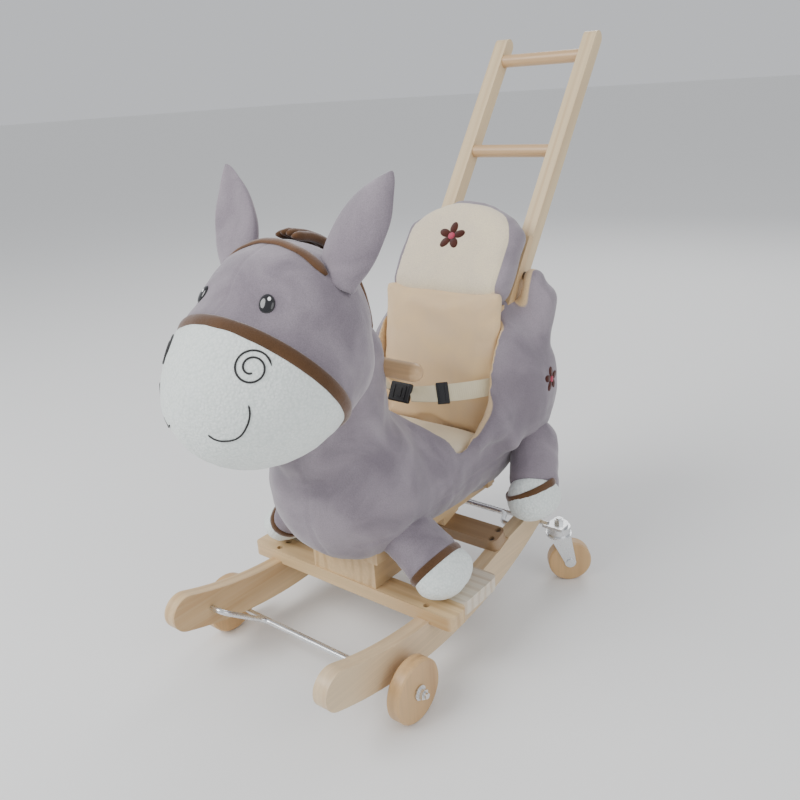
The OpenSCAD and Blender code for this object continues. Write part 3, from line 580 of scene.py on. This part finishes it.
bm = bmesh.new()
box_form(bm, (-90, 192, 219), (90, 262, 240))
bmesh.ops.bevel(bm, geom=bm.edges[:], offset=8, segments=3, profile=0.5, affect="EDGES", material=-1)
cushion = show("seat_cushion_cover", bm, [cream_cloth])
fuse(cushion, 4.5, 3)
points, normals = points_of(cushion)
crown = np.clip(1 - (points[:, 0] / 92) ** 4, 0, 1) * np.clip(1 - ((points[:, 1] - 226) / 40) ** 4, 0, 1)
points[:, 2] += np.where(points[:, 2] > 230, 6.0 * crown, 0)
move_to(cushion, points)
puff(cushion, 4, 5, pinned=lambda p: p[:, 2] < 221)
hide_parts("seat_cushion")

# Padded panel behind the rider: tan cloth over thin foam, tucked down behind the cushion and
# gathered into a curved seam along its top.
TILT = Matrix.Translation((0, 283, 217)) @ Matrix.Rotation(math.radians(-9), 4, "X")
bm = bmesh.new()
box_form(bm, (-93, -19, 6), (93, -3, 204))
bmesh.ops.bevel(bm, geom=bm.edges[:], offset=5, segments=3, profile=0.5, affect="EDGES", material=-1)
bmesh.ops.transform(bm, matrix=TILT, verts=bm.verts)
panel = show("lower_back_panel", bm, [tan_cloth])
fuse(panel, 4.5, 3)
puff(panel, 3, 5, pinned=lambda p: (p[:, 1] > 283 + (p[:, 2] - 217) * math.tan(math.radians(9)) - 5))
points, normals = points_of(panel)
points += normals * (0.6 * ripple(points, 45, 9))[:, None]
move_to(panel, points)
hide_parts("back_cushion")

# Backrest: a stuffed grey headrest with a cream front panel set inside a rolled grey edge. It is
# tied to the plywood board in front of the rails.
RAILS = Matrix.Translation((0, 328.6, 353.3)) @ Matrix.Rotation(math.radians(-35.4), 4, "X")
bm = bmesh.new()
for x in np.linspace(-68, 68, 11):
    for up_slope in np.linspace(52, 152 - 0.0065 * x * x, 8):
        ball(bm, (x, -44, up_slope), (25, 23, 22))
bmesh.ops.transform(bm, matrix=RAILS, verts=bm.verts)
backrest = show("backrest_cover", bm, [lined("velour_lined_cream", CREAM, (0.80, 0.69, 0.52))])
fuse(backrest, 4.5, 10)
inverse_rails = np.array(RAILS.inverted())


def in_rails(points):
    return points @ inverse_rails[:3, :3].T + inverse_rails[:3, 3]


def front_panel(local):
    """Distance in from the cream panel's edge: above zero inside it."""
    x, up_slope = local[:, 0], local[:, 2]
    corner = np.maximum(np.abs(x) - 22, 0) ** 2 + np.maximum(up_slope - 104, 0) ** 2
    return 60 - np.sqrt(corner)


points, normals = points_of(backrest)
local = in_rails(points)
lining = np.minimum(front_panel(local), -44 - local[:, 1])
points = crease(points, normals, lining, 2.0, 2.6)
points += normals * (0.8 * ripple(points, 50, 12))[:, None]
move_to(backrest, points)
set_lining(backrest, lining)
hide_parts("backrest_plush")

# Head: grey velour skull and cheeks, sewn to a white looped-plush muzzle under a brown band.
# Both are stuffed hard, so they stay round.
BAND_POINT = np.array((-89.2, 474.8))
BAND_DIRECTION = np.array((0.635, -0.773))
BAND_NORMAL = np.array((-0.773, -0.635))


def past_band(points):
    """Distance in front of the band's plane, towards the nose."""
    return (points[:, 1] - BAND_POINT[0]) * BAND_NORMAL[0] + (points[:, 2] - BAND_POINT[1]) * BAND_NORMAL[1]


def terry(name):
    """White looped plush: small rounded loops, with painted shade a little darker between them."""
    made = Finish(name, (0.85, 0.90, 0.87), 0.95, Sheen_Weight=0.35, Sheen_Roughness=0.6, Specular_IOR_Level=0.15)
    where = made.place()
    loops = made.node("TexVoronoi", [("Vector", where)], Scale=330.0, Randomness=1.0).outputs["Distance"]
    coarse = made.noise(where, 120, 3.0)
    # The colour darkens towards each loop's edge: painted shade in the hollows between the loops.
    tint = made.ramp(loops, (0.0, (0.90, 0.94, 0.91)), (0.75, (0.72, 0.78, 0.75)))
    made.colour(made.mix(made.ramp(coarse, (0.4, (0, 0, 0)), (0.7, (0.35,) * 3)), tint, (0.80, 0.86, 0.84)))
    both = made.node("Math", [(0, loops), (1, coarse)], operation="SUBTRACT").outputs[0]
    made.bump(both, 0.0009, 0.9)
    return made.material


white_terry = terry("white_terry")


def head_forms(bm):
    ball(bm, (0, -20, 404), (106, 122, 95), 27)
    ball(bm, (0, 12, 441), (100, 88, 93))
    ball(bm, (0, 14, 415), (101, 84, 96))


def halve(made, keep_front, gap):
    """Keeps one side of the band's plane, and closes the cut with a flat face."""
    bm = bmesh.new()
    bm.from_mesh(made.data)
    at = place((0, BAND_POINT[0] + gap * BAND_NORMAL[0], BAND_POINT[1] + gap * BAND_NORMAL[1]))
    cut = bmesh.ops.bisect_plane(bm, geom=bm.verts[:] + bm.edges[:] + bm.faces[:], plane_co=at,
                                 plane_no=(0, *BAND_NORMAL), clear_outer=not keep_front, clear_inner=keep_front)
    edges = [g for g in cut["geom_cut"] if isinstance(g, bmesh.types.BMEdge)]
    bmesh.ops.contextual_create(bm, geom=edges)
    bm.to_mesh(made.data)
    bm.free()


def skin(made):
    """The piece's surface in millimetres, for laying trim on."""
    points, _ = points_of(made)
    return BVHTree.FromPolygons([Vector(p) for p in points], [f.vertices[:] for f in made.data.polygons])


def surface(tree, start, towards):
    """Where a line first meets the skin, and the skin's direction there."""
    direction = (Vector(towards) - Vector(start)).normalized()
    where, normal, _, _ = tree.ray_cast(Vector(start), direction)
    if where is None:
        raise ValueError(f"no skin from {start} towards {towards}")
    return where, normal


heads = []
for name, material, front, gap, node_name, slot_name in (
        ("head_cover", velour, False, -0.5, "head_plush", "velour"),
        ("muzzle_cover", white_terry, True, 0.5, "muzzle_plush", "terry")):
    bm = bmesh.new()
    head_forms(bm)
    made = show(name, bm, [material])
    fuse(made, 5, 8)
    settle(made, ("SUBSURF", dict(levels=1, render_levels=1)))
    points, normals = points_of(made)
    points += normals * (0.9 * ripple(points, 70, 21) + 0.3 * ripple(points, 22, 22))[:, None]
    points = crease(points, normals, past_band(points), 3.0, 5.0)
    points = crease(points, normals, np.where(past_band(points) > 6, np.where(points[:, 2] < 372, points[:, 0], 99), 99), 1.2, 2.0)
    points = crease(points, normals, np.where((past_band(points) < -6) & (points[:, 2] > 400), points[:, 0], 99), 0.8, 1.8)
    move_to(made, points)
    halve(made, front, gap)
    for face in made.data.polygons:
        face.use_smooth = True
    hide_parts(node_name)
    heads.append(made)
head_skin, muzzle_skin = [skin(made) for made in heads]


def stitched(name, paths, material, radius, sides=8, flat=0.8):
    bm = bmesh.new()
    for path, normals_along, taper in paths:
        count = len(path)
        widths = [radius * (min(1, 0.35 + min(i, count - 1 - i) * 0.4) if taper else 1) for i in range(count)]
        tube(bm, path, widths, sides, up=normals_along, flat=flat)
    made = show(name, bm, [material])
    return made


# Nose band: brown velour piping, 14 mm wide and sewn over the seam between head and muzzle.
CENTRE = Vector((0, -12, 405))
band_path, band_up = [], []
middle = CENTRE + Vector((0, *BAND_NORMAL)) * -float(past_band(np.array([CENTRE]))[0])
for angle in np.linspace(0, 2 * math.pi, 96, endpoint=False):
    out = Vector((math.cos(angle), *(BAND_DIRECTION * -math.sin(angle))))
    start = middle + out * 220 - Vector((0, *BAND_NORMAL)) * 6
    spot, _ = surface(head_skin, start, start - out)
    band_path.append(spot + Vector((0, *BAND_NORMAL)) * 6 - out * 0.6)
    band_up.append(out)
bm = bmesh.new()
tube(bm, band_path, 7.4, 14, closed=True, flat=0.5, up=band_up)
nose_band = show("nose_band", bm, [brown_velour])

# Face: eyes are glossy black beads with a white glint, and the nostril swirls and the smile are
# embroidered in black cord.
black_thread = Finish("black_thread", (0.012, 0.011, 0.012), 0.7, Sheen_Weight=0.2).material
glossy_black = Finish("glossy_black", (0.006, 0.006, 0.008), 0.12, Coat_Weight=0.6).material
glint_white = Finish("glint_white", (0.95, 0.95, 0.95), 0.3).material
MUZZLE_MIDDLE = Vector((0, -60, 390))
SMILE = ((29, -131, 371), (36, -128, 366), (45, -123, 365), (56, -117, 369), (64, -112, 379), (69, -109, 392),
         (68, -108, 403))
for side, word in ((1, "left"), (-1, "right")):
    spot, normal = surface(head_skin, (side * 90, -160, 520), (side * 40, -30, 478))
    bm = bmesh.new()
    lean = normal.to_track_quat("Z", "Y").to_matrix().to_4x4()
    bmesh.ops.create_uvsphere(bm, u_segments=32, v_segments=16, radius=1,
                              matrix=Matrix.Translation(spot) @ lean @ Matrix.Diagonal((8.2, 10.5, 3.6, 1)))
    eye = show("eye_" + word, bm, [glossy_black])
    bm = bmesh.new()
    offset = lean.to_3x3() @ Vector((3.0, 4.2, 3.0))
    bmesh.ops.create_uvsphere(bm, u_segments=16, v_segments=8, radius=1,
                              matrix=Matrix.Translation(spot + offset) @ lean @ Matrix.Diagonal((1.8, 2.2, 0.8, 1)))
    glint = show("eye_glint_" + word, bm, [glint_white])
    swirl, ups = [], []
    centre, out = surface(muzzle_skin, (side * 130, -145, 470), (side * 68, -91, 437))
    flat_x = Vector((0, 0, 1)).cross(out).normalized()
    flat_y = out.cross(flat_x)
    for turn in np.linspace(0, 1.75, 80):
        reach = 6.5 + 19 * (turn / 1.75) ** 0.8
        a = -math.pi / 2 - turn * 2 * math.pi
        start = centre + flat_x * (reach * side * math.cos(a)) + flat_y * (reach * math.sin(a)) + out * 30
        spot, normal = surface(muzzle_skin, start, MUZZLE_MIDDLE)
        swirl.append(spot + normal * 0.4)
        ups.append(normal)
    stitched("nostril_swirl_" + word, [(swirl, ups, True)], black_thread, 1.05)
    smile, ups = [], []
    corners = [Vector((side * x, y, z)) for x, y, z in SMILE]
    for before, one, two, after in zip([corners[0]] + corners, corners, corners[1:], corners[2:] + [corners[-1]]):
        for t in np.linspace(0, 1, 9)[:-1]:
            smooth = one.lerp(two, t) + (one * 2 - before - two) * (0.16 * t * (1 - t) * (1 - t) * 4) + (
                two * 2 - one - after) * (0.16 * t * t * (1 - t) * 4)
            spot, normal = surface(muzzle_skin, smooth + (smooth - MUZZLE_MIDDLE) * 0.5, MUZZLE_MIDDLE)
            smile.append(spot + normal * 0.4)
            ups.append(normal)
    stitched("smile_line_" + word, [(smile, ups, True)], black_thread, 1.0)

# Ears: two leaf-shaped velour pieces sewn edge to edge, lightly stuffed and cupped forward.
for side, word in ((1, "left"), (-1, "right")):
    base, tip = Vector((side * 77, 24, 502)), Vector((side * 113, 66, 602))
    along = (tip - base).normalized()
    wide = Vector((side, 0.05, 0.0))
    wide = (wide - along * wide.dot(along)).normalized()
    thick = along.cross(wide)
    bm = bmesh.new()
    rings = []
    for t in np.linspace(-0.12, 1, 24):
        half = 34 * max(0.02, math.sin(math.pi * (0.16 + 0.84 * max(t, 0)) ** 0.80)) ** 0.72 if t < 1 else 0.5
        deep = 11 * max(0.05, 1 - max(t, 0) ** 2.2) + 2
        bend = 10 * t * t
        ring = bmesh.ops.create_circle(bm, segments=28, radius=1, cap_ends=False)["verts"]
        for vert in ring:
            u, v = vert.co.x, vert.co.y
            cup = 7 * (1 - u * u) * math.sin(math.pi * min(max(t, 0), 1))
            vert.co = base + (tip - base) * t + wide * (half * u) + thick * (deep * v - cup + bend)
        rings.append(ring)
    for one, two in zip(rings, rings[1:]):
        for k in range(28):
            bm.faces.new((one[k], one[(k + 1) % 28], two[(k + 1) % 28], two[k]))
    bm.faces.new(list(reversed(rings[0])))
    bm.faces.new(rings[-1])
    bmesh.ops.recalc_face_normals(bm, faces=bm.faces)
    ear = show("ear_cover_" + word, bm, [velour])
    settle(ear, ("SUBSURF", dict(levels=1, render_levels=1)))
    points, normals = points_of(ear)
    points += normals * (0.6 * ripple(points, 40, 31))[:, None]
    move_to(ear, points)
    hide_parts("ear_" + word)

# Crown strap and mane: brown velour. The strap is sewn across the crown between the ears, and
# the mane is four soft cords that run from it down the back of the neck.
strap, ups = [], []
for a in np.linspace(-52, 52, 30):
    out = Vector((math.sin(math.radians(a)), 0, math.cos(math.radians(a))))
    start = Vector((0, 6, 445)) + out * 160
    spot, normal = surface(head_skin, start, start - out)
    strap.append(spot + normal * 1.2)
    ups.append(normal)
stitched("crown_strap", [(strap, ups, True)], brown_velour, 6.5, 14, 0.45)
cords = []
for x, lift, low in ((-12, 5.5, 392), (-4, 8, 384), (4, 8, 386), (12, 5.5, 394)):
    path, ups = [], []
    for a in np.linspace(8, 96, 34):
        out = Vector((0, math.sin(math.radians(a)), math.cos(math.radians(a))))
        start = Vector((x, 12, 436)) + out * 160
        spot, _ = surface(head_skin, start, start - out)
        path.append(spot + out * (lift * 0.8 + 33 * (a / 96) ** 1.6))
        ups.append(out)
    while path[-1].z > low + 6:
        path.append(path[-1] + Vector((0, 0.4, -6)))
        ups.append(Vector((0, 1, 0.3)))
    cords.append((path, ups, True))
mane_cords = stitched("mane_cords", cords, brown_velour, 5.2, 12, 1.0)
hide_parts("mane")

# Legs: short stuffed velour tubes sewn into the belly and rump. Each ends in a brown band and a
# white looped-plush hoof, and the front pair lies flat on the front board and the pedals.
LEGS = (("front_leg", (52, 104, 182), (110, 104, 142), (24, 40, 26), (26, 43, 26), (130, 104, 125.2), (29, 45, 27)),
        ("rear_leg", (116, 345, 205), (136, 310, 168), (33, 33, 33), (33, 37, 31), (143, 298, 147.2), (33, 45, 32)))
for base_name, one, two, r1, r2, hoof_at, hoof_r in LEGS:
    for side, word in ((1, "left"), (-1, "right")):
        one_, two_, hoof_ = [Vector((side * p[0], p[1], p[2])) for p in (one, two, hoof_at)]
        axis = (hoof_ - one_).normalized()
        cut_at = two_.lerp(hoof_, 0.42)
        for part, material, front, gap in (("", velour, False, -0.4), ("_hoof", white_terry, True, 0.4)):
            bm = bmesh.new()
            roll(bm, one_, two_, r1, r2, 6)
            roll(bm, two_, hoof_, r2, hoof_r, 4)
            name = (base_name + "_cover_" if not part else base_name.split("_")[0] + "_hoof_cover_") + word
            made = show(name, bm, [material])
            fuse(made, 4, 6)
            points, normals = points_of(made)
            distance = (points - np.array(cut_at)) @ np.array(axis)
            points += normals * (0.8 * ripple(points, 38, 41) + 0.35 * ripple(points, 15, 42))[:, None]
            points = crease(points, normals, distance, 2.6, 4.5)
            floor_z = {"front_leg": 97.0, "rear_leg": 114.2}[base_name]
            points[:, 2] = np.maximum(points[:, 2], floor_z)
            move_to(made, points)
            bm = bmesh.new()
            bm.from_mesh(made.data)
            cut = bmesh.ops.bisect_plane(bm, geom=bm.verts[:] + bm.edges[:] + bm.faces[:],
                                         plane_co=place(cut_at + axis * gap), plane_no=axis,
                                         clear_outer=not front, clear_inner=front)
            bmesh.ops.contextual_create(bm, geom=[g for g in cut["geom_cut"] if isinstance(g, bmesh.types.BMEdge)])
            bm.to_mesh(made.data)
            bm.free()
            for face in made.data.polygons:
                face.use_smooth = True
            node_name = f"{base_name}_{word}" if not part else f"{base_name.split('_')[0]}_hoof_{word}"
            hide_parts(node_name)
            if part:
                hoof_skin = skin(made)
        across = axis.cross(Vector((0, 1, 0))).normalized()
        path, ups = [], []
        for angle in np.linspace(0, 2 * math.pi, 56, endpoint=False):
            out = across * math.sin(angle) + Vector((0, 1, 0)) * math.cos(angle)
            start = cut_at + axis * 5 + out * 90
            spot, _ = surface(hoof_skin, start, start - out)
            path.append(spot - axis * 5 - out * 0.4)
            ups.append(out)
        bm = bmesh.new()
        tube(bm, path, 5.2, 12, closed=True, flat=0.42, up=ups)
        low = {"front_leg": 96.9, "rear_leg": 114.0}[base_name]
        for vert in bm.verts:
            vert.co.z = max(vert.co.z, low)
        band = show(f"{base_name}_band_{word}", bm, [brown_velour])

# Lap belt: 25 mm cream webbing stitched to each wing, with a black slider on the left strap and
# a black side-release buckle in the middle.
webbing = weave("cream_webbing", (0.78, 0.70, 0.50), (0.62, 0.54, 0.36))
black_plastic = Finish("black_plastic", (0.018, 0.018, 0.02), 0.38, Specular_IOR_Level=0.4).material


def strap_between(name, ends, sag, twist, body_name="base"):
    bm = bmesh.new()
    one, two = Vector(ends[0]), Vector(ends[1])
    ahead = (two - one).normalized()
    rows = []
    for t in np.linspace(0, 1, 40):
        middle_point = one.lerp(two, t) - Vector((0, 0, sag * 4 * t * (1 - t)))
        lean = math.radians(twist[0] + (twist[1] - twist[0]) * t)
        flat_up = Vector((0, 0, 1))
        side_way = ahead.cross(flat_up).normalized()
        wide_way = flat_up * math.cos(lean) + side_way * math.sin(lean)
        thin_way = ahead.cross(wide_way).normalized()
        row = [bm.verts.new(middle_point + wide_way * w + thin_way * h)
               for w, h in ((-11.5, -0.7), (11.5, -0.7), (11.5, 0.7), (-11.5, 0.7))]
        rows.append(row)
    for a, b in zip(rows, rows[1:]):
        for k in range(4):
            bm.faces.new((a[k], a[(k + 1) % 4], b[(k + 1) % 4], b[k]))
    bm.faces.new(list(reversed(rows[0])))
    bm.faces.new(rows[-1])
    bmesh.ops.recalc_face_normals(bm, faces=bm.faces)
    made = show(name, bm, [webbing], body_name, smooth=False)
    return made


for side, word in ((1, "left"), (-1, "right")):
    strap_piece = strap_between("belt_strap_" + word, ((side * 92, 276, 303), (side * 16, 202, 303)), 3, (8, 55))
    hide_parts("belt_" + word)


def moulding(name, at, size, turn, round_off, material, holes=()):
    bm = bmesh.new()
    bmesh.ops.create_cube(bm, size=1, matrix=Matrix.Diagonal((*size, 1)))
    bmesh.ops.bevel(bm, geom=bm.edges[:], offset=round_off, segments=3, profile=0.5, affect="EDGES", material=-1)
    for x, y, w, h in holes:
        bmesh.ops.create_cube(bm, size=1, matrix=Matrix.Translation((x, y, size[2] / 2 + 0.4)) @ Matrix.Diagonal((w, h, 1.2, 1)))
    bmesh.ops.transform(bm, matrix=Matrix.Translation(at) @ Matrix.Rotation(math.radians(turn[2]), 4, "Z")
                        @ Matrix.Rotation(math.radians(turn[1]), 4, "Y") @ Matrix.Rotation(math.radians(turn[0]), 4, "X"), verts=bm.verts)
    made = show(name, bm, [material], smooth=False)
    return made


buckle = moulding("belt_buckle_cover", (0, 202, 303), (33, 26, 7), (62, 0, 0), 2.2, black_plastic,
                  ((-9, 0, 3, 18), (9, 0, 3, 18), (0, 0, 8, 12)))
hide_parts("belt_buckle")
moulding("belt_slider", (46.4, 231.6, 300.1), (16, 29, 5), (54, 0, 44), 1.4, black_plastic,
         ((-4, 0, 2, 22), (4, 0, 2, 22)))

# Emblems: a plain five-petal flower, embroidered on the cream panel and smaller on each side.
petal_brown = pile("petal_thread", (0.10, 0.035, 0.025), (0.07, 0.02, 0.015), 3.0, 0.2, 0.0002)
petal_pink = pile("petal_centre", (0.60, 0.10, 0.16), (0.45, 0.06, 0.10), 3.0, 0.2, 0.0002)


def flower(name, target, centre, out, size):
    bm = bmesh.new()
    out = Vector(out).normalized()
    flat_x = Vector((0, 0, 1)).cross(out).normalized()
    flat_y = out.cross(flat_x)
    for k in range(6):
        a = math.radians(90 + 72 * k)
        reach = 0 if k == 5 else size * 0.56
        wide = size * (0.24 if k == 5 else 0.27)
        tall = size * (0.24 if k == 5 else 0.42)
        made = bmesh.ops.create_circle(bm, segments=24, radius=1, cap_ends=True)["verts"]
        for vert in made:
            u, v = vert.co.x * wide, vert.co.y * tall + reach
            start = Vector(centre) + flat_x * (u * math.sin(a) + v * math.cos(a)) + flat_y * (v * math.sin(a) - u * math.cos(a)) + out * 60
            spot, normal = surface(target, start, start - out)
            vert.co = spot + normal * (0.9 if k == 5 else 0.5)
        for face in {f for vert in made for f in vert.link_faces}:
            face.material_index = 1 if k == 5 else 0
    thick = bmesh.ops.extrude_face_region(bm, geom=bm.faces[:])["geom"]
    bmesh.ops.translate(bm, vec=-out * 1.2, verts=[g for g in thick if isinstance(g, bmesh.types.BMVert)])
    bmesh.ops.recalc_face_normals(bm, faces=bm.faces)
    made = show(name, bm, [petal_brown, petal_pink])


front_normal = RAILS.to_3x3() @ Vector((0, -1, 0))
flower("backrest_emblem", skin(backrest), RAILS @ Vector((-6, -66, 112)), front_normal, 21)
flower("side_emblem_left", skin(body), (140, 345, 300), (0.95, 0.1, 0.25), 17)
flower("side_emblem_right", skin(body), (-140, 345, 300), (-0.95, 0.1, 0.25), 17)

low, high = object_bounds()
